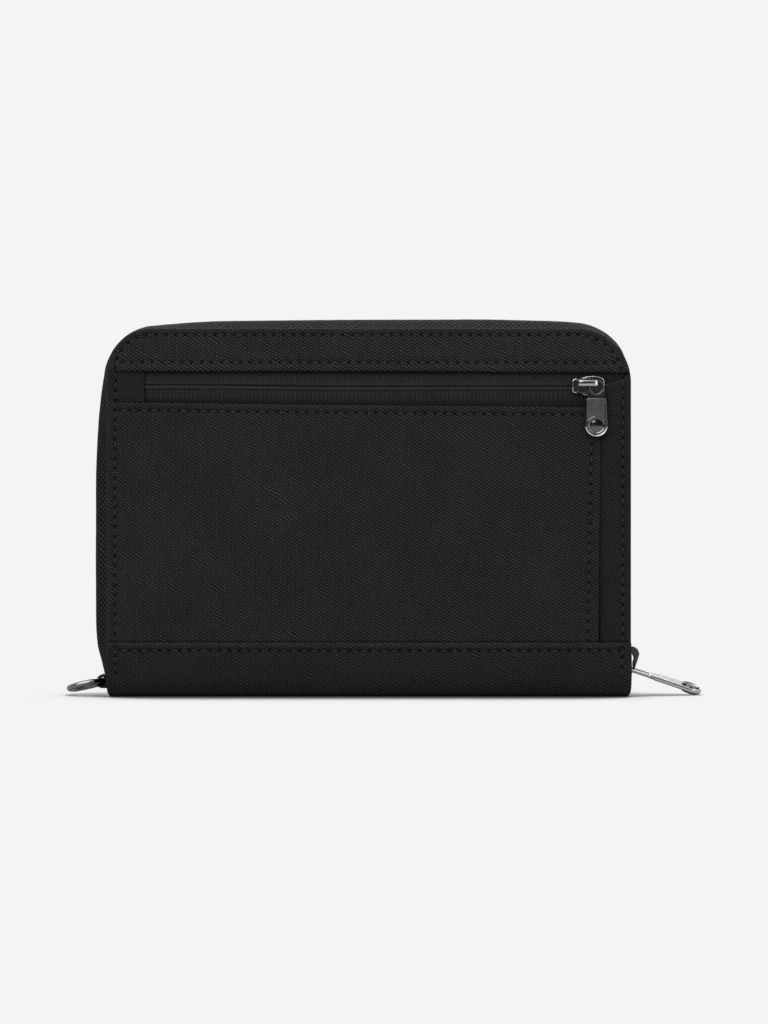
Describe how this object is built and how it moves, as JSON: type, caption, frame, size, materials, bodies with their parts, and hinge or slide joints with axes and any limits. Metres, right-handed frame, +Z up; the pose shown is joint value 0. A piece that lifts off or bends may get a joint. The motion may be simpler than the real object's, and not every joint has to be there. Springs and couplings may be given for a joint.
{
  "type": "passport holder wallet",
  "caption": "Black woven-fabric zip-around passport wallet with padded covers, an outside zip pocket, metal zip pulls and a strap ring.",
  "frame": {"origin": "middle of the underside of the spine, on which the shut wallet stands", "axes": "+X along the spine towards the main slider, +Z up from the spine to the zip's top run, -Y towards the back cover with the outside zip pocket"},
  "size_m": [0.1805, 0.0241, 0.1065],
  "materials": {
    "outer_fabric": "matt plain-weave polyester",
    "zip_tape": "matt ribbed woven tape",
    "zip_coil": "satin nylon",
    "lining": "smooth fine-weave polyester",
    "board": "matt sheet",
    "padding": "soft foam",
    "webbing": "ribbed woven webbing",
    "nickel": "polished and brushed nickel plate",
    "thread": "satin polyester thread"
  },
  "bodies": {
    "spine": {"spine_base": "outer_fabric", "spine_board": "board", "spine_lining": "lining", "ring_tab": "webbing"},
    "back_cover": {"back_spine_band": "outer_fabric", "pocket_top_panel": "outer_fabric", "pocket_front_panel": "outer_fabric", "pocket_side_panel": "outer_fabric", "pocket_zip_end_tab": "outer_fabric", "pocket_tape_upper": "zip_tape", "pocket_tape_lower": "zip_tape", "pocket_coil_upper": "zip_coil", "pocket_coil_lower": "zip_coil", "pocket_zip_stops": "nickel", "pocket_lining": "lining", "back_board": "board", "back_main_tape": "zip_tape", "back_main_coil": "zip_coil", "back_main_stops": "nickel", "back_lining": "lining", "passport_sleeve": "lining", "back_edge_thread": "thread", "top_panel_thread": "thread", "pocket_panel_thread": "thread", "back_band_thread": "thread"},
    "front_cover": {"front_spine_band": "outer_fabric", "front_panel": "outer_fabric", "front_padding": "padding", "front_board": "board", "front_main_tape": "zip_tape", "front_main_coil": "zip_coil", "front_main_stops": "nickel", "front_lining": "lining", "card_pocket_1": "lining", "card_pocket_2": "lining", "card_pocket_3": "lining", "card_pocket_4": "lining", "front_edge_thread": "thread", "front_band_thread": "thread"},
    "main_slider": {"main_slider_body": "nickel", "main_slider_bridge": "nickel"},
    "main_pull": {"main_pull_tab": "nickel"},
    "pocket_slider": {"pocket_slider_body": "nickel", "pocket_slider_bridge": "nickel", "pocket_slider_lock_spring": "nickel"},
    "pocket_pull": {"pocket_pull_tab": "nickel"},
    "strap_ring": {"strap_ring": "nickel"}
  },
  "joints": [
    {"name": "back_cover_hinge", "type": "hinge", "parent": "spine", "child": "back_cover", "pos_m": [0, -0.011, 0], "axis": [1, 0, 0], "range_deg": [0, 90]},
    {"name": "front_cover_hinge", "type": "hinge", "parent": "spine", "child": "front_cover", "pos_m": [0, 0.011, 0], "axis": [-1, 0, 0], "range_deg": [0, 90]},
    {"name": "main_slider_travel", "type": "slide", "parent": "back_cover", "child": "main_slider", "axis": [0, 0, 1], "range_m": [0, 0.07]},
    {"name": "main_pull_swing", "type": "hinge", "parent": "main_slider", "child": "main_pull", "pos_m": [0.0742, 0, 0.00743], "axis": [0, -1, 0], "range_deg": [-60, 67]},
    {"name": "pocket_slider_travel", "type": "slide", "parent": "back_cover", "child": "pocket_slider", "axis": [1, 0, 0], "range_m": [-0.119, 0]},
    {"name": "pocket_pull_swing", "type": "hinge", "parent": "pocket_slider", "child": "pocket_pull", "pos_m": [0.06375, -0.0112, 0.0869], "axis": [0, -1, 0], "range_deg": [-25, 180]},
    {"name": "strap_ring_swing", "type": "hinge", "parent": "spine", "child": "strap_ring", "pos_m": [-0.0756, 0, 0.00395], "axis": [0, 1, 0], "range_deg": [-77, 70]}
  ]
}
